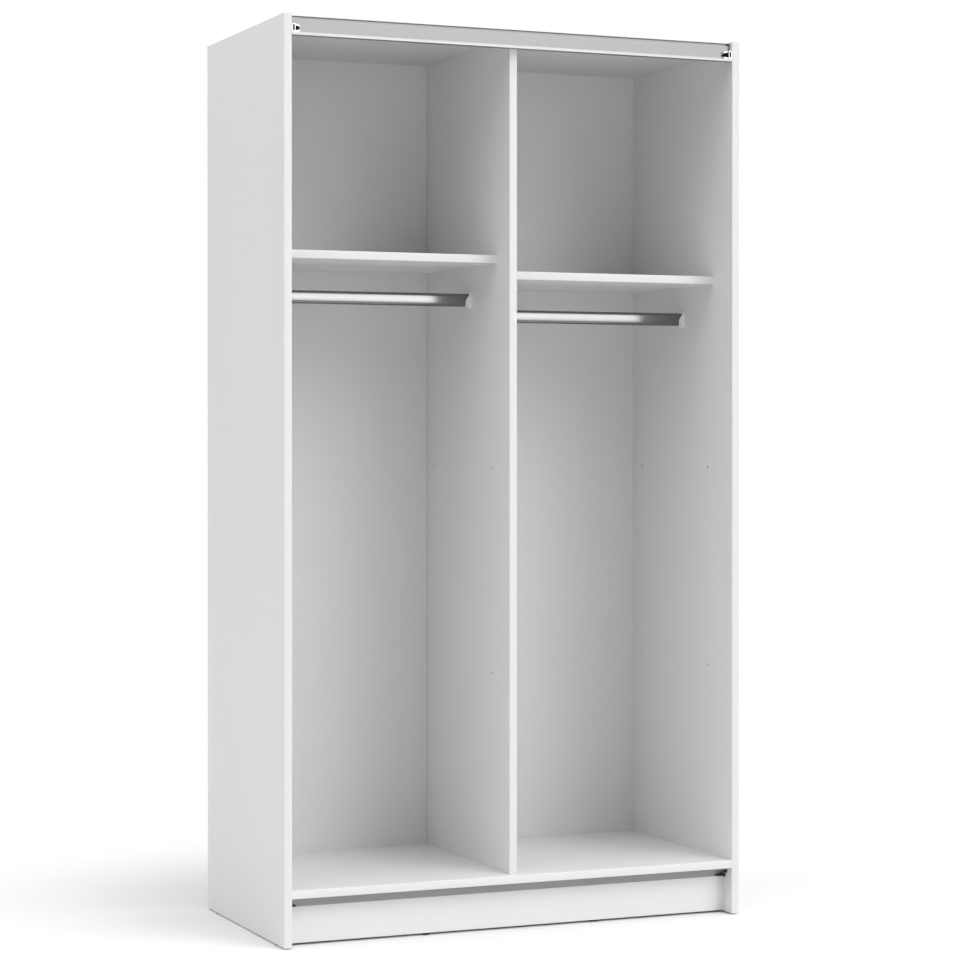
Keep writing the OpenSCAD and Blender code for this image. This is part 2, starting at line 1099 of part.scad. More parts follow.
// Channel open at the bottom: short front lip, web under the base, tall back wall
module guide_rail() {
    y1 = plinth_setback;
    in_frame()
        color(aluminium)
            difference() {
                profile_x(-inner_x + guide_end_gap, inner_x - guide_end_gap) {
                    bar([guide_y0, base_z - guide_wall], [y1, base_z]);
                    bar([guide_y0, base_z - guide_lip_h], [guide_y0 + guide_wall, base_z]);
                    bar([y1 - guide_wall, base_z - guide_h], [y1, base_z]);
                }
                guide_screw_places()
                    translate([0, 0, -5])
                        cylinder(r = small_r + fit_gap, h = 10);
            }
}

module guide_rail_screws() {
    in_frame()
        color(steel)
            guide_screw_places()
                pan_screw(12);
}

// Stop in the end of the guide rail: a short end plate at the top, and a post with a
// round bumper at the bottom, joined by a thin rib at the back
module guide_end_stop(side) {
    y1 = plinth_setback - guide_wall - 0.2;
    z1 = base_z - guide_wall - 0.2;
    plate_x = guide_end_gap - 0.8;
    plate_drop = 13.5;
    post_drop = 17.3;
    bumper_r = 2.85;
    bumper_z = base_z - guide_h + bumper_r;
    translate([side * inner_x, 0, 0])
        mirror([side > 0 ? 1 : 0, 0, 0]) {
            block([0.3, guide_y0 + 2, base_z - plate_drop], [plate_x, y1 - 2, z1]);
            block([0.3, y1 - 3, base_z - post_drop - 1], [1.2, y1, base_z - plate_drop + 1]);
            block([0.3, y1 - 9, base_z - guide_h], [6, y1, base_z - post_drop]);
            translate([0, y1 - 4.5, bumper_z])
                rod_x(bumper_r, 5, 9);
            translate([9, y1 - 4.5, bumper_z])
                rotate([0, 90, 0])
                    cylinder(r1 = bumper_r, r2 = bumper_r - 0.6, h = 11);
        }
}

module guide_end_stop_left() {
    in_frame()
        color(black)
            guide_end_stop(-1);
}

module guide_end_stop_right() {
    in_frame()
        color(black)
            guide_end_stop(1);
}

// ---- Glides ----------------------------------------------------------------

// Nailed glide hanging below z = 0
module glide(h) {
    translate([0, 0, -h])
        cylinder(r1 = glide_r - 1, r2 = glide_r, h = 1);
    translate([0, 0, 1 - h])
        cylinder(r = glide_r, h = h - 1);
    glide_nail();
}

module side_glides() {
    in_frame()
        color(black)
            side_glide_places()
                glide(side_gap);
}

module plinth_glides() {
    in_frame()
        color(black)
            plinth_glide_places()
                glide(plinth_gap);
}

side_panel_left();
side_panel_right();
top_panel();
base_panel();
divider_panel();
side_edge_band_left();
side_edge_band_right();
divider_edge_band();
base_edge_band();
plinth_front();
plinth_rear();
plinth_brackets();
plinth_bracket_screws();
plinth_dowels();
back_sheet_left();
back_sheet_right();
back_joining_strip();
back_nails();
shelf_left();
shelf_right();
shelf_edge_band_left();
shelf_edge_band_right();
cam_locks();
cam_bolts();
wood_dowels();
shelf_cam_caps();
divider_screws();
divider_dowels();
hanging_rail_left();
hanging_rail_right();
rail_socket_left_outer();
rail_socket_left_inner();
rail_socket_right_inner();
rail_socket_right_outer();
socket_screws_left();
socket_screws_right();
top_track();
top_track_screws();
door_stop_body_left();
door_stop_bumper_left();
door_stop_strip_left();
door_stop_body_right();
door_stop_bumper_right();
door_stop_strip_right();
guide_rail();
guide_rail_screws();
guide_end_stop_left();
guide_end_stop_right();
side_glides();
plinth_glides();
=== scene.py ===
"""Studio, camera, materials and fine shapes for the two-bay wardrobe carcass.

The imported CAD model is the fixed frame. Its boards, extrusions and fittings stay and
get soft edges and procedural materials. Edge bands and hanging tubes are rebuilt here
with rounded profiles, in the place and size that the frame gives.
"""
import math

import bmesh
import bpy
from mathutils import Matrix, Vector


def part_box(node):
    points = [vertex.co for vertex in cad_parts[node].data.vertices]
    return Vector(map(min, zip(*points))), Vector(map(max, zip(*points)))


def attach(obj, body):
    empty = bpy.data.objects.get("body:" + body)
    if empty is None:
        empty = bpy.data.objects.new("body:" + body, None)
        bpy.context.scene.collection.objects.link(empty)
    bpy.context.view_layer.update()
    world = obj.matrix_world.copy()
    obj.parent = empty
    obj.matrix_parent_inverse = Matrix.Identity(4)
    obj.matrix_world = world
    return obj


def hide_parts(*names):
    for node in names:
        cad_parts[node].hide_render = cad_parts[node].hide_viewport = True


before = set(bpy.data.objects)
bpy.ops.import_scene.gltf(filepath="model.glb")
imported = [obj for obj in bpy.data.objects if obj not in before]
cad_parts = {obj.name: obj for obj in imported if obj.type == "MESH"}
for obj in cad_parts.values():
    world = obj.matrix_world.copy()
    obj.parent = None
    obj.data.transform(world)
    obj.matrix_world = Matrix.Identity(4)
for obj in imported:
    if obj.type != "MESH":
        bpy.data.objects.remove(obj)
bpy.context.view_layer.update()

MM = 0.001
X, Y, Z = 0, 1, 2

# Camera: its place in metres, its lens in millimetres, and its turns in degrees
CAMERA_PLACE = (-2.415, -5.7185, 1.098)
CAMERA_LENS = 99.80
CAMERA_SHIFT = -0.0324
CAMERA_DROP = 0.384
CAMERA_TURN = -23.174

# The floor turns into the plain backdrop between the near and the far distance
FLOOR_RADIUS = 60.0
FLOOR_NEAR = 0.7
FLOOR_FAR = 1.4
FLOOR_GREY = 0.87

# The glow that shows in reflections only: its height, narrowness and fill from above
BAND_HEIGHT = 0.05
BAND_NARROW = 130.0
OVERHEAD_FILL = 1.3

# A face looks along an axis when its normal has more than this along it
SQUARE_ON = 0.6
# A facet whose normal has less than this along every axis belongs to a rounded edge
ROUNDED_BELOW = 0.985

# Height of the track's lip, which gets a painted highlight
TRACK_LIP = 6.0 * MM
# Height of the coated strip at the end of an upright board
COATED_END = 0.5 * MM

# Rebuilt shapes: the bands' corner radius, the tubes' wall, and a half circle's steps
BAND_CORNER = 0.8 * MM
TUBE_WALL = 1.2 * MM
ROUND_STEPS = 20


# ---------------------------------------------------------------- camera

def make_camera():
    """A long lens at chest height, to the left of the front, looking nearly level."""
    data = bpy.data.cameras.new("camera")
    data.sensor_width = 36.0
    data.lens = CAMERA_LENS
    data.shift_y = CAMERA_SHIFT
    data.clip_start = 0.1
    data.clip_end = 100.0
    data.dof.use_dof = False
    camera = bpy.data.objects.new("camera", data)
    camera.location = CAMERA_PLACE
    tilt = math.radians(90.0 - CAMERA_DROP)
    camera.rotation_euler = (tilt, 0.0, math.radians(CAMERA_TURN))
    bpy.context.scene.collection.objects.link(camera)
    bpy.context.scene.camera = camera


# ---------------------------------------------------------------- studio

def make_world(glows, band):
    """Soft glows on a dark surround, and a plain white backdrop behind the object.

    Each glow is (azimuth, elevation, width exponent, strength) in degrees, where
    azimuth 0 is straight in front of the object and 90 is to its right. The band is
    one more glow, which shows in reflections only."""
    world = bpy.data.worlds.new("studio")
    world.use_nodes = True
    tree = world.node_tree
    direction = tree.nodes.new("ShaderNodeTexCoord").outputs["Generated"]
    total = 0.0
    for glow in glows:
        total = node_math(tree, "ADD", total, world_glow(tree, direction, *glow))
    path = tree.nodes.new("ShaderNodeLightPath")
    mirrored = reflected_glow(tree, direction, band)
    mirrored = node_math(tree, "MULTIPLY", mirrored, path.outputs["Is Glossy Ray"])
    total = node_math(tree, "ADD", total, mirrored)
    total = node_math(tree, "MAXIMUM", total, path.outputs["Is Camera Ray"])
    background = tree.nodes["Background"]
    background.inputs["Color"].default_value = (1.0, 1.0, 1.0, 1.0)
    tree.links.new(total, background.inputs["Strength"])
    bpy.context.scene.world = world


def reflected_glow(tree, direction, band):
    """A glow that is wide from left to right and narrow at the horizon, with a soft
    fill from overhead, so metal is bright from all around."""
    split = tree.nodes.new("ShaderNodeSeparateXYZ")
    tree.links.new(direction, split.inputs[0])
    height = node_math(tree, "SUBTRACT", split.outputs[Z], BAND_HEIGHT)
    height = node_math(tree, "MULTIPLY", height, height)
    level = node_math(tree, "SUBTRACT", 1.0, height)
    level = node_math(tree, "POWER", level, BAND_NARROW)
    wide = world_glow(tree, direction, *band)
    overhead = node_math(tree, "MAXIMUM", split.outputs[Z], 0.0)
    overhead = node_math(tree, "MULTIPLY", overhead, OVERHEAD_FILL)
    return node_math(tree, "ADD", node_math(tree, "MULTIPLY", wide, level), overhead)


def world_glow(tree, direction, azimuth, elevation, narrow, strength):
    """Brightness of one soft round glow."""
    turn = math.radians(azimuth)
    lift = math.radians(elevation)
    facing = tree.nodes.new("ShaderNodeVectorMath")
    facing.operation = "DOT_PRODUCT"
    facing.inputs[1].default_value = (
        math.sin(turn) * math.cos(lift),
        -math.cos(turn) * math.cos(lift),
        math.sin(lift),
    )
    tree.links.new(direction, facing.inputs[0])
    glow = node_math(tree, "MAXIMUM", facing.outputs["Value"], 0.0)
    glow = node_math(tree, "POWER", glow, narrow)
    return node_math(tree, "MULTIPLY", glow, strength)


def node_math(tree, operation, first, second):
    """Result of one arithmetic step in a shader tree, on sockets or plain values."""
    node = tree.nodes.new("ShaderNodeMath")
    node.operation = operation
    for socket, value in zip(node.inputs, (first, second)):
        if isinstance(value, bpy.types.NodeSocket):
            tree.links.new(value, socket)
        else:
            socket.default_value = value
    return node.outputs[0]


def make_softbox(name, place, target, size, power):
    """A rectangular area lamp that faces a point."""
    data = bpy.data.lights.new(name, "AREA")
    data.shape = "RECTANGLE"
    data.size = size[0]
    data.size_y = size[1]
    data.energy = power
    lamp = bpy.data.objects.new(name, data)
    lamp.location = place
    aim = Vector(target) - Vector(place)
    lamp.rotation_euler = aim.to_track_quat("-Z", "Y").to_euler()
    bpy.context.scene.collection.objects.link(lamp)


def make_lights():
    """Key from the front right, fill from the left, and soft light from above."""
    make_world([
        (30, 40, 16.0, 5.2),
        (22, 3, 65.0, 2.1),
        (90, 40, 10.0, 1.63),
        (-60, 40, 10.0, 1.55),
        (-90, 40, 10.0, 1.3),
        (180, 17, 2.0, 0.72),
    ], band=(14, 0, 3.0, 3.0))
    middle = (0.0, 0.0, 1.0)
    make_softbox("top_softbox", (0.0, -0.5, 8.0), middle, (5.0, 5.0), 214.0)


def make_floor():
    """A wide pale disc at the height of the glides."""
    mesh = bpy.data.meshes.new("studio_floor")
    outline = bmesh.new()
    bmesh.ops.create_circle(outline, cap_ends=True, radius=FLOOR_RADIUS, segments=96)
    outline.to_mesh(mesh)
    outline.free()
    mesh.materials.append(floor_material())
    floor = bpy.data.objects.new("studio_floor", mesh)
    bpy.context.scene.collection.objects.link(floor)


def floor_material():
    """Takes shadows near the object and turns into the plain white of the backdrop
    farther out. From below it is clear, so the underside can be seen."""
    material = bpy.data.materials.new("studio_floor")
    material.use_nodes = True
    tree = material.node_tree
    shader = tree.nodes["Principled BSDF"]
    shader.inputs["Base Color"].default_value = (FLOOR_GREY, FLOOR_GREY, FLOOR_GREY, 1.0)
    shader.inputs["Specular IOR Level"].default_value = 0.0
    shader.inputs["Roughness"].default_value = 0.8
    length = tree.nodes.new("ShaderNodeVectorMath")
    length.operation = "LENGTH"
    place = tree.nodes.new("ShaderNodeTexCoord")
    tree.links.new(place.outputs["Object"], length.inputs[0])
    share = tree.nodes.new("ShaderNodeMapRange")
    share.interpolation_type = "SMOOTHSTEP"
    share.inputs["From Min"].default_value = FLOOR_NEAR
    share.inputs["From Max"].default_value = FLOOR_FAR
    tree.links.new(length.outputs["Value"], share.inputs["Value"])
    white = tree.nodes.new("ShaderNodeEmission")
    clear = tree.nodes.new("ShaderNodeBsdfTransparent")
    below = tree.nodes.new("ShaderNodeNewGeometry").outputs["Backfacing"]
    upper = shader_mix(tree, share.outputs[0], shader, white)
    surface = shader_mix(tree, below, upper, clear)
    tree.links.new(surface.outputs[0], tree.nodes["Material Output"].inputs["Surface"])
    return material


def shader_mix(tree, share, first, second):
    """Node that goes from the first shader node to the second one."""
    mix = tree.nodes.new("ShaderNodeMixShader")
    tree.links.new(share, mix.inputs[0])
    tree.links.new(first.outputs[0], mix.inputs[1])
    tree.links.new(second.outputs[0], mix.inputs[2])
    return mix


# ---------------------------------------------------------------- shader helpers

class Finish:
    """One material, with short calls for the nodes that its parts share."""

    def __init__(self, name, metallic=0.0, specular=0.5):
        self.material = bpy.data.materials.new(name)
        self.material.use_nodes = True
        self.tree = self.material.node_tree
        self.shader = self.tree.nodes["Principled BSDF"]
        self.shader.inputs["Metallic"].default_value = metallic
        self.shader.inputs["Specular IOR Level"].default_value = specular
        self.position = self.tree.nodes.new("ShaderNodeTexCoord").outputs["Object"]
        self.normal = self.tree.nodes.new("ShaderNodeNewGeometry").outputs["Normal"]

    def put(self, socket, value):
        """Links a socket, or sets a plain value."""
        if isinstance(value, bpy.types.NodeSocket):
            self.tree.links.new(value, socket)
        else:
            socket.default_value = value

    def math(self, operation, first, second=0.0):
        """Result of one arithmetic step."""
        return node_math(self.tree, operation, first, second)

    def along(self, vector, axis):
        """One component of a vector."""
        node = self.tree.nodes.new("ShaderNodeSeparateXYZ")
        self.put(node.inputs[0], vector)
        return node.outputs[axis]

    def scaled(self, sizes):
        """Position on the object, counted in features of these sizes."""
        place = self.tree.nodes.new("ShaderNodeMapping")
        place.inputs["Scale"].default_value = [1.0 / size for size in sizes]
        self.put(place.inputs["Vector"], self.position)
        return place.outputs[0]

    def spots(self, sizes, detail=2.0, roughness=0.5):
        """Noise from 0 to 1 with features of these sizes in metres along X, Y and Z."""
        node = self.tree.nodes.new("ShaderNodeTexNoise")
        node.inputs["Scale"].default_value = 1.0
        node.inputs["Detail"].default_value = detail
        node.inputs["Roughness"].default_value = roughness
        self.put(node.inputs["Vector"], self.scaled(sizes))
        return node.outputs["Fac"]

    def chips(self, sizes):
        """Random value per cell, with cells of these sizes in metres."""
        node = self.tree.nodes.new("ShaderNodeTexVoronoi")
        node.inputs["Scale"].default_value = 1.0
        self.put(node.inputs["Vector"], self.scaled(sizes))
        return self.along(node.outputs["Color"], X)

    def span(self, value, low, high, source=(0.3, 0.7)):
        """Carries a value from the source range to low..high."""
        node = self.tree.nodes.new("ShaderNodeMapRange")
        node.inputs["From Min"].default_value = source[0]
        node.inputs["From Max"].default_value = source[1]
        node.inputs["To Min"].default_value = low
        node.inputs["To Max"].default_value = high
        self.put(node.inputs["Value"], value)
        return node.outputs[0]

    def blend(self, share, first, second):
        """Mix of two colours."""
        node = self.tree.nodes.new("ShaderNodeMix")
        node.data_type = "RGBA"
        self.put(node.inputs[0], share)
        self.put(node.inputs[6], first)
        self.put(node.inputs[7], second)
        return node.outputs[2]

    def relief(self, height, depth, below=None):
        """Bump of this depth in metres, on top of another bump if one is given."""
        node = self.tree.nodes.new("ShaderNodeBump")
        node.inputs["Distance"].default_value = depth
        self.put(node.inputs["Height"], height)
        if below is not None:
            self.put(node.inputs["Normal"], below)
        return node.outputs[0]

    def mottled(self, streak, cloud, white):
        """White coat that streaks and clouds make slightly lighter and darker."""
        streaked = self.span(streak, -0.008, 0.006)
        tone = self.math("ADD", streaked, self.span(cloud, -0.006, 0.006))
        share = self.math("ADD", tone, 0.5)
        return self.blend(share, grey(white - MOTTLE), grey(white + MOTTLE))

    def rounded_edge(self):
        """1 on the slanted facets of softened edges, 0 on faces square to the axes."""
        size = self.tree.nodes.new("ShaderNodeVectorMath")
        size.operation = "ABSOLUTE"
        self.put(size.inputs[0], self.normal)
        parts = [self.along(size.outputs[0], axis) for axis in (X, Y, Z)]
        largest = self.math("MAXIMUM", self.math("MAXIMUM", parts[0], parts[1]), parts[2])
        return self.math("LESS_THAN", largest, ROUNDED_BELOW)

    def done(self, colour, roughness, bump=None):
        """Connects the results to the shader."""
        self.put(self.shader.inputs["Base Color"], colour)
        self.put(self.shader.inputs["Roughness"], roughness)
        if bump is not None:
            self.put(self.shader.inputs["Normal"], bump)
        return self.material


def grey(value, warmth=0.0):
    """A linear grey, slightly warm above 0 and slightly cool below."""
    return (value * (1.0 + warmth), value, value * (1.0 - warmth), 1.0)


def long_along(axis, length, width):
    """Feature sizes that are long on one axis and narrow on the others."""
    sizes = [width, width, width]
    sizes[axis] = length
    return sizes


# ---------------------------------------------------------------- materials

WHITE = 0.74
# A coat's tone runs over this much on either side of its white, of which the streaks
# and clouds use a few hundredths
MOTTLE = 0.3
# How much painted highlight the track's lip gets, and how bright that highlight is
LIP_HIGHLIGHT_SHARE = 0.26
LIP_HIGHLIGHT_GREY = 0.7


def chipboard(finish, grain):
    """Colour and relief of a raw chipboard edge."""
    chip = finish.chips(long_along(grain, 4.0 * MM, 1.3 * MM))
    fleck = finish.spots(long_along(grain, 2.5 * MM, 0.7 * MM), detail=3.0)
    light = (0.56, 0.42, 0.27, 1.0)
    dark = (0.30, 0.19, 0.10, 1.0)
    colour = finish.blend(chip, dark, light)
    colour = finish.blend(finish.span(fleck, 0.0, 0.6), colour, (0.66, 0.53, 0.36, 1.0))
    return colour, finish.math("ADD", chip, fleck)


def faced_board(name, across, grain, raw_between=None, white=WHITE, painted_top_shade=None):
    """White melamine on chipboard. Faces square to the across axis are coated, and
    drilled holes and unbanded edges show the core between the two given heights.
    The last argument, when given, is a grey painted as shade on a face that looks up, to hold
    down the strong light from above."""
    finish = Finish(name, specular=0.45)
    streak = finish.spots(long_along(grain, 260.0 * MM, 3.2 * MM), detail=3.0, roughness=0.6)
    pore = finish.spots(long_along(grain, 9.0 * MM, 0.5 * MM), detail=2.0)
    cloud = finish.spots((0.35, 0.35, 0.35), detail=1.0)
    coat = finish.mottled(streak, cloud, white)
    if painted_top_shade is not None:
        # Painted shade: a face that looks up gets the given darker grey
        upward = finish.math("GREATER_THAN", finish.along(finish.normal, Z), SQUARE_ON)
        coat = finish.blend(upward, coat, grey(painted_top_shade, 0.02))
    raw, raw_height = chipboard(finish, grain)
    square = finish.math("ABSOLUTE", finish.along(finish.normal, across))
    core = finish.math("LESS_THAN", square, SQUARE_ON)
    if raw_between is not None:
        height = finish.along(finish.position, Z)
        above = finish.math("GREATER_THAN", height, raw_between[0])
        below = finish.math("LESS_THAN", height, raw_between[1])
        core = finish.math("MULTIPLY", core, finish.math("MULTIPLY", above, below))
    colour = finish.blend(core, coat, raw)
    smooth = finish.math("ADD", finish.span(streak, 0.36, 0.44), finish.span(pore, 0.0, 0.05))
    roughness = finish.math("MAXIMUM", smooth, finish.math("MULTIPLY", core, 0.9))
    coat_bump = finish.relief(pore, 0.03 * MM)
    relief = finish.math("MULTIPLY", raw_height, core)
    return finish.done(colour, roughness, finish.relief(relief, 0.25 * MM, coat_bump))


def plastic_band(name, grain, white):
    """ABS edge band: a fine print of the board's pattern, polished on its round edges."""
    finish = Finish(name, specular=0.5)
    streak = finish.spots(long_along(grain, 60.0 * MM, 1.5 * MM), detail=2.0)
    peel = finish.spots((0.9 * MM, 0.9 * MM, 0.9 * MM), detail=2.0)
    wear_and_highlight = finish.math("MULTIPLY", finish.rounded_edge(), finish.spots((0.03, 0.03, 0.03)))
    printed = finish.span(streak, 0.0, 1.0)
    colour = finish.blend(printed, grey(white - 0.005), grey(white + 0.005))
    colour = finish.blend(finish.math("MULTIPLY", wear_and_highlight, 0.3), colour, grey(white + 0.08))
    polish = finish.math("MULTIPLY", wear_and_highlight, 0.2)
    roughness = finish.math("SUBTRACT", finish.span(peel, 0.3, 0.4), polish)
    return finish.done(colour, roughness, finish.relief(peel, 0.008 * MM))


def back_sheet():
    """Thin fibreboard: white lacquer with faint upright streaks in front, brown behind."""
    finish = Finish("back_sheet", specular=0.4)
    streak = finish.spots(long_along(Z, 300.0 * MM, 3.0 * MM), detail=3.0, roughness=0.6)
    cloud = finish.spots((0.5, 0.5, 0.5), detail=1.0)
    lacquer = finish.mottled(streak, cloud, WHITE - 0.01)
    fibre = finish.spots((2.5 * MM, 2.5 * MM, 5.0 * MM), detail=6.0, roughness=0.7)
    stain = finish.spots((0.12, 0.12, 0.2), detail=4.0)
    dark = (0.17, 0.09, 0.045, 1.0)
    light = (0.35, 0.22, 0.12, 1.0)
    brown = finish.blend(finish.span(fibre, 0.0, 1.0), dark, light)
    brown = finish.blend(finish.span(stain, 0.0, 0.35), brown, (0.42, 0.28, 0.17, 1.0))
    front = finish.math("LESS_THAN", finish.along(finish.normal, Y), -SQUARE_ON)
    colour = finish.blend(front, brown, lacquer)
    gloss = finish.math("SUBTRACT", 0.85, finish.math("MULTIPLY", front, 0.38))
    raw_and_highlight_share = finish.math("SUBTRACT", 1.0, front)
    depth = finish.math("ADD", finish.math("MULTIPLY", raw_and_highlight_share, 0.9), 0.1)
    height = finish.math("MULTIPLY", fibre, depth)
    return finish.done(colour, gloss, finish.relief(height, 0.1 * MM))


def moulded(name, low, high, gloss, specular=0.5):
    """Moulded plastic or rubber with a fine leathery surface."""
    finish = Finish(name, specular=specular)
    texture = finish.spots((0.35 * MM, 0.35 * MM, 0.35 * MM), detail=3.0)
    cloud = finish.spots((6.0 * MM, 6.0 * MM, 6.0 * MM), detail=2.0)
    colour = finish.blend(finish.span(cloud, 0.0, 1.0), low, high)
    roughness = finish.math("ADD", finish.span(texture, -0.06, 0.06), gloss)
    wear_and_highlight = finish.math("MULTIPLY", finish.rounded_edge(), -0.1)
    roughness = finish.math("ADD", roughness, wear_and_highlight)
    return finish.done(colour, roughness, finish.relief(texture, 0.02 * MM))


def drawn_metal(name, along, low, high, gloss, depth=0.004 * MM, highlight_below=None):
    """Metal drawn or extruded along one axis, with fine lines that run its whole length.
    Below the given height it gets a painted highlight: a lighter colour for the light that the
    track's lip catches."""
    finish = Finish(name, metallic=1.0)
    lines = finish.spots(long_along(along, 400.0 * MM, 0.15 * MM), detail=2.0, roughness=0.7)
    cloud = finish.spots(long_along(along, 60.0 * MM, 8.0 * MM), detail=2.0)
    colour = finish.blend(finish.span(cloud, 0.0, 1.0), low, high)
    if highlight_below is not None:
        # Painted highlight: below this height the metal is lighter
        wear_and_highlight = finish.math("LESS_THAN", finish.along(finish.position, Z), highlight_below)
        raw_and_highlight_share = finish.math("MULTIPLY", wear_and_highlight, LIP_HIGHLIGHT_SHARE)
        colour = finish.blend(raw_and_highlight_share, colour, grey(LIP_HIGHLIGHT_GREY))
    roughness = finish.math("ADD", finish.span(lines, -0.035, 0.035), gloss)
    roughness = finish.math("ADD", roughness, finish.span(cloud, -0.02, 0.02))
    return finish.done(colour, roughness, finish.relief(lines, depth))


def plated_metal(name, low, high, gloss):
    """Plated small hardware: a slightly uneven bright coat over a pressed or cast body."""
    finish = Finish(name, metallic=1.0)
    cast = finish.spots((1.2 * MM, 1.2 * MM, 1.2 * MM), detail=3.0)
    cloud = finish.spots((5.0 * MM, 5.0 * MM, 5.0 * MM), detail=2.0)
    colour = finish.blend(finish.span(cloud, 0.0, 1.0), low, high)
    roughness = finish.math("ADD", finish.span(cast, -0.05, 0.06), gloss)
    polish = finish.math("MULTIPLY", finish.rounded_edge(), -0.06)
    roughness = finish.math("ADD", roughness, polish)
    return finish.done(colour, roughness, finish.relief(cast, 0.015 * MM))


def beech():
    """Fluted beech dowels: fine long grain with short dark rays."""
    finish = Finish("beech", specular=0.35)
    grain = finish.spots((6.0 * MM, 0.4 * MM, 0.4 * MM), detail=3.0)
    ray = finish.chips((1.5 * MM, 0.5 * MM, 0.5 * MM))
    dark = (0.55, 0.36, 0.19, 1.0)
    light = (0.70, 0.50, 0.30, 1.0)
    colour = finish.blend(finish.span(grain, 0.0, 1.0), dark, light)
    colour = finish.blend(finish.span(ray, 0.0, 0.3, (0.8, 1.0)), colour, (0.33, 0.19, 0.09, 1.0))
    return finish.done(colour, finish.span(grain, 0.6, 0.75), finish.relief(grain, 0.03 * MM))


def make_materials():
    """Every finish by name."""
    side_low, side_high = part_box("side_panel_left")
    side_ends = (side_low.z + COATED_END, side_high.z - COATED_END)
    lip_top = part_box("top_track")[0].z + TRACK_LIP
    plinth_low, plinth_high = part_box("plinth_front")
    plinth_ends = (plinth_low.z + COATED_END, plinth_high.z)
    return {
        "upright": faced_board("faced_board_upright", X, Z, side_ends),
        "level": faced_board("faced_board_level", Z, X),
        # Painted shade: the top panel's white is darker than the same melamine on the other
        # boards, and its upward face is darker still
        "top": faced_board("faced_board_top", Z, X, white=0.66, painted_top_shade=0.42),
        # Painted light: the plinth's white is lighter than the same melamine on the other boards,
        # for the light lost under the base's overhang
        "plinth": faced_board("faced_board_plinth", Y, X, plinth_ends, white=0.81),
        # Painted shade: the upright bands are a little darker than the level ones, for the
        # stronger light on the upright fronts
        "band_upright": plastic_band("edge_band_upright", Z, 0.725),
        "band_level": plastic_band("edge_band_level", X, 0.74),
        "back": back_sheet(),
        "white_plastic": moulded("white_plastic", grey(0.78, 0.01), grey(0.82, 0.01), 0.4),
        "black_plastic": moulded("black_plastic", grey(0.012), grey(0.022), 0.42),
        "grey_plastic": moulded("dark_grey_plastic", grey(0.035), grey(0.05), 0.45),
        "rubber": moulded(
            "black_rubber", grey(0.004), grey(0.008), 0.75, specular=0.03
        ),
        # The track's lip gets a painted highlight
        "aluminium": drawn_metal(
            "anodised_aluminium", X, grey(0.23), grey(0.248), 0.3, highlight_below=lip_top
        ),
        "dull_aluminium": drawn_metal("dull_aluminium", X, grey(0.20), grey(0.23), 0.36),
        "chrome": drawn_metal(
            "chromed_tube", X, grey(0.205), grey(0.222), 0.16, depth=0.001 * MM
        ),
        "nickel": plated_metal("nickel_plate", grey(0.66), grey(0.74), 0.2),
        "bright_nickel": plated_metal("bright_nickel_plate", grey(0.90), grey(0.97), 0.3),
        "zinc": plated_metal("zinc_plate", grey(0.50, -0.02), grey(0.62, 0.01), 0.32),
        "beech": beech(),
    }


# ---------------------------------------------------------------- CAD nodes that stay

# By finish: the radius of the edges in millimetres, and the nodes
SOFTENED = {
    "upright": (0.15, ["side_panel_left", "side_panel_right", "divider_panel"]),
    "top": (0.15, ["top_panel"]),
    "level": (0.15, ["base_panel", "shelf_left", "shelf_right"]),
    "plinth": (0.15, ["plinth_front", "plinth_rear"]),
    "back": (0.1, ["back_sheet_left", "back_sheet_right"]),
    "white_plastic": (0.3, ["back_joining_strip", "plinth_brackets"]),
    "black_plastic": (0.6, ["side_glides", "plinth_glides"]),
    "aluminium": (0.25, ["top_track"]),
    "dull_aluminium": (0.25, ["guide_rail"]),
    "nickel": (0.1, ["door_stop_body_left", "door_stop_body_right"]),
    "bright_nickel": (0.3, [
        "rail_socket_left_outer",
        "rail_socket_left_inner",
        "rail_socket_right_inner",
        "rail_socket_right_outer",
    ]),
}

# By finish: the nodes whose edges stay as they are
AS_DRAWN = {
    "white_plastic": ["shelf_cam_caps"],
    "grey_plastic": ["guide_end_stop_left", "guide_end_stop_right"],
    "rubber": [
        "door_stop_strip_left",
        "door_stop_strip_right",
        "door_stop_bumper_left",
        "door_stop_bumper_right",
    ],
    "zinc": [
        "cam_locks",
        "cam_bolts",
        "divider_screws",
        "plinth_bracket_screws",
        "socket_screws_left",
        "socket_screws_right",
        "top_track_screws",
        "guide_rail_screws",
        "back_nails",
    ],
    "beech": ["wood_dowels", "divider_dowels", "plinth_dowels"],
}


def soften(node, radius):
    """Rounds the sharp edges of a CAD node with modifiers, which leave its mesh alone."""
    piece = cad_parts[node]
    weld = piece.modifiers.new("weld", "WELD")
    weld.merge_threshold = 0.01 * MM
    flat = piece.modifiers.new("flat", "DECIMATE")
    flat.decimate_type = "DISSOLVE"
    flat.angle_limit = math.radians(0.3)
    bevel = piece.modifiers.new("bevel", "BEVEL")
    bevel.width = radius
    bevel.segments = 2
    bevel.limit_method = "ANGLE"
    bevel.angle_limit = math.radians(40.0)
    bevel.use_clamp_overlap = False
    smooth = piece.modifiers.new("normals", "WEIGHTED_NORMAL")
    smooth.keep_sharp = False


def paint(node, material):
    """Gives a CAD node its finish."""
    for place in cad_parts[node].material_slots:
        place.material = material


def dress_nodes(materials):
    """Gives every CAD node that stays its finish, and its edges if they are softened."""
    for finish, (radius, nodes) in SOFTENED.items():
        for node in nodes:
            soften(node, radius * MM)
            paint(node, materials[finish])
    for finish, nodes in AS_DRAWN.items():
        for node in nodes:
            paint(node, materials[finish])


# ---------------------------------------------------------------- rebuilt shapes

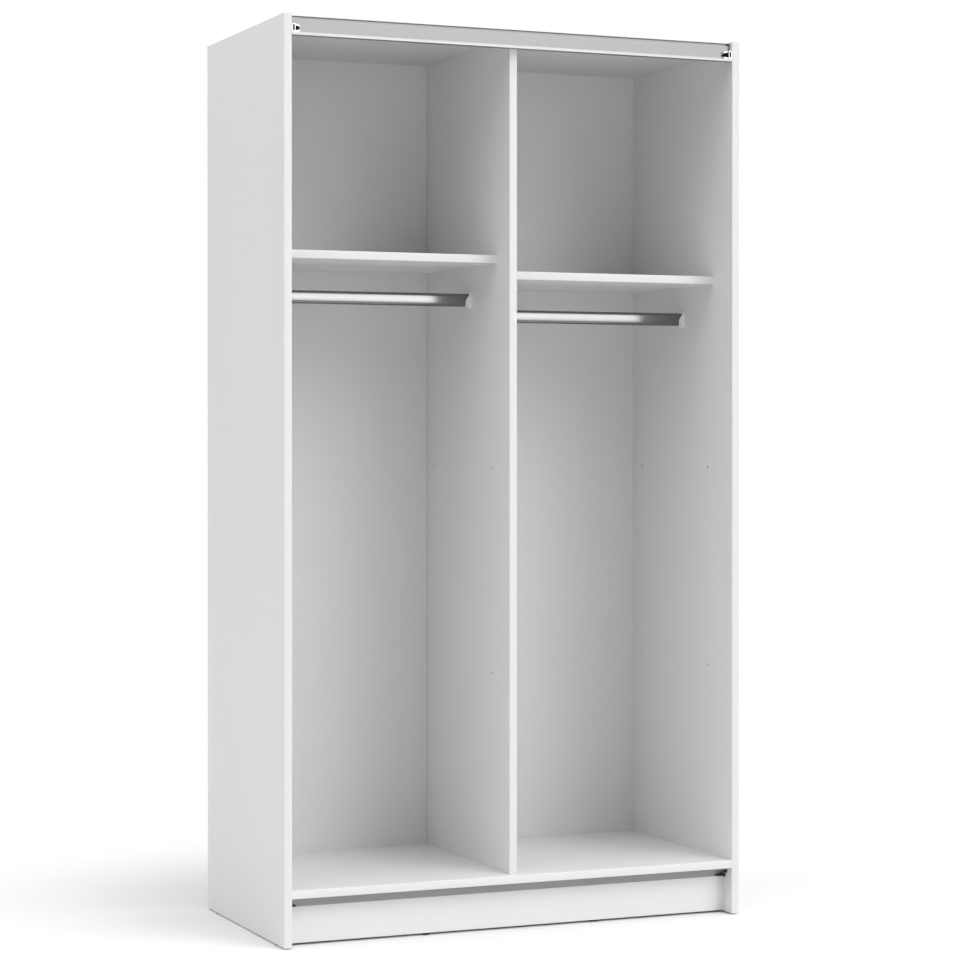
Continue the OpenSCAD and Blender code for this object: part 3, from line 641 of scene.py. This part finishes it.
def make_piece(name, shape, material, body, replaced):
    """Turns a bmesh into a piece that rides on a body and stands for CAD nodes."""
    bmesh.ops.recalc_face_normals(shape, faces=shape.faces)
    mesh = bpy.data.meshes.new(name)
    shape.to_mesh(mesh)
    shape.free()
    mesh.materials.append(material)
    piece = bpy.data.objects.new(name, mesh)
    bpy.context.scene.collection.objects.link(piece)
    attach(piece, body)
    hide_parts(*replaced)
    return piece


def smooth_shade(piece):
    """Smooth shading, with creases where faces meet at more than 30 degrees."""
    mesh = piece.data
    mesh.polygons.foreach_set("use_smooth", [True] * len(mesh.polygons))
    mesh.set_sharp_from_angle(angle=math.radians(30.0))


def band_piece(node, along, material):
    """Edge band with round front corners, in the place of its CAD node."""
    low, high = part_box(node)
    shape = bmesh.new()
    bmesh.ops.create_cube(shape, size=1.0)
    for vert in shape.verts:
        vert.co = Vector(low[a] + (vert.co[a] + 0.5) * (high[a] - low[a]) for a in range(3))
    corners = [
        edge for edge in shape.edges
        if all(abs(vert.co.y - low.y) < 0.01 * MM for vert in edge.verts)
        and abs((edge.verts[0].co - edge.verts[1].co)[along]) > 0.1
    ]
    bmesh.ops.bevel(
        shape, geom=corners, offset=BAND_CORNER, segments=4, profile=0.5, affect="EDGES"
    )
    piece = make_piece(node + "_rounded", shape, material, "carcass", [node])
    smooth_shade(piece)


def swept_along_x(loops, x0, x1):
    """A bar along X from closed (y, z) loops: the first is the outside, others are hollows."""
    shape = bmesh.new()
    rims = {x0: [], x1: []}
    for loop in loops:
        rings = {}
        for x in (x0, x1):
            rings[x] = [shape.verts.new((x, point[0], point[1])) for point in loop]
            ring = rings[x]
            rims[x] += [shape.edges.new((ring[i - 1], ring[i])) for i in range(len(ring))]
        for i in range(len(loop)):
            shape.faces.new((rings[x0][i - 1], rings[x0][i], rings[x1][i], rings[x1][i - 1]))
    for x in (x0, x1):
        bmesh.ops.triangle_fill(shape, edges=rims[x], use_beauty=True)
    return shape


def stadium(centre, width, height):
    """Upright oval with straight sides, as (y, z) points."""
    radius = width / 2.0
    points = []
    for end in (1, -1):
        middle = centre[1] + end * (height - width) / 2.0
        for step in range(ROUND_STEPS + 1):
            angle = math.pi * step / ROUND_STEPS + (0.0 if end > 0 else math.pi)
            y = centre[0] + radius * math.cos(angle)
            z = middle + radius * math.sin(angle)
            points.append(Vector((y, z)))
    return points


def hanging_tube(node, material):
    """Chromed oval tube with its own wall, open at both ends."""
    low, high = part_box(node)
    centre = ((low.y + high.y) / 2.0, (low.z + high.z) / 2.0)
    width = high.y - low.y
    height = high.z - low.z
    outside = stadium(centre, width, height)
    inside = stadium(centre, width - 2 * TUBE_WALL, height - 2 * TUBE_WALL)
    shape = swept_along_x([outside, inside], low.x, high.x)
    piece = make_piece(node + "_tube", shape, material, node, [node])
    smooth_shade(piece)


# ---------------------------------------------------------------- scene

def main():
    """Builds everything around the frame."""
    make_camera()
    make_lights()
    make_floor()
    materials = make_materials()
    dress_nodes(materials)
    for node in ("side_edge_band_left", "side_edge_band_right", "divider_edge_band"):
        band_piece(node, Z, materials["band_upright"])
    for node in ("base_edge_band", "shelf_edge_band_left", "shelf_edge_band_right"):
        band_piece(node, X, materials["band_level"])
    for node in ("hanging_rail_left", "hanging_rail_right"):
        hanging_tube(node, materials["chrome"])
    bpy.context.scene.view_settings.view_transform = "Standard"


main()
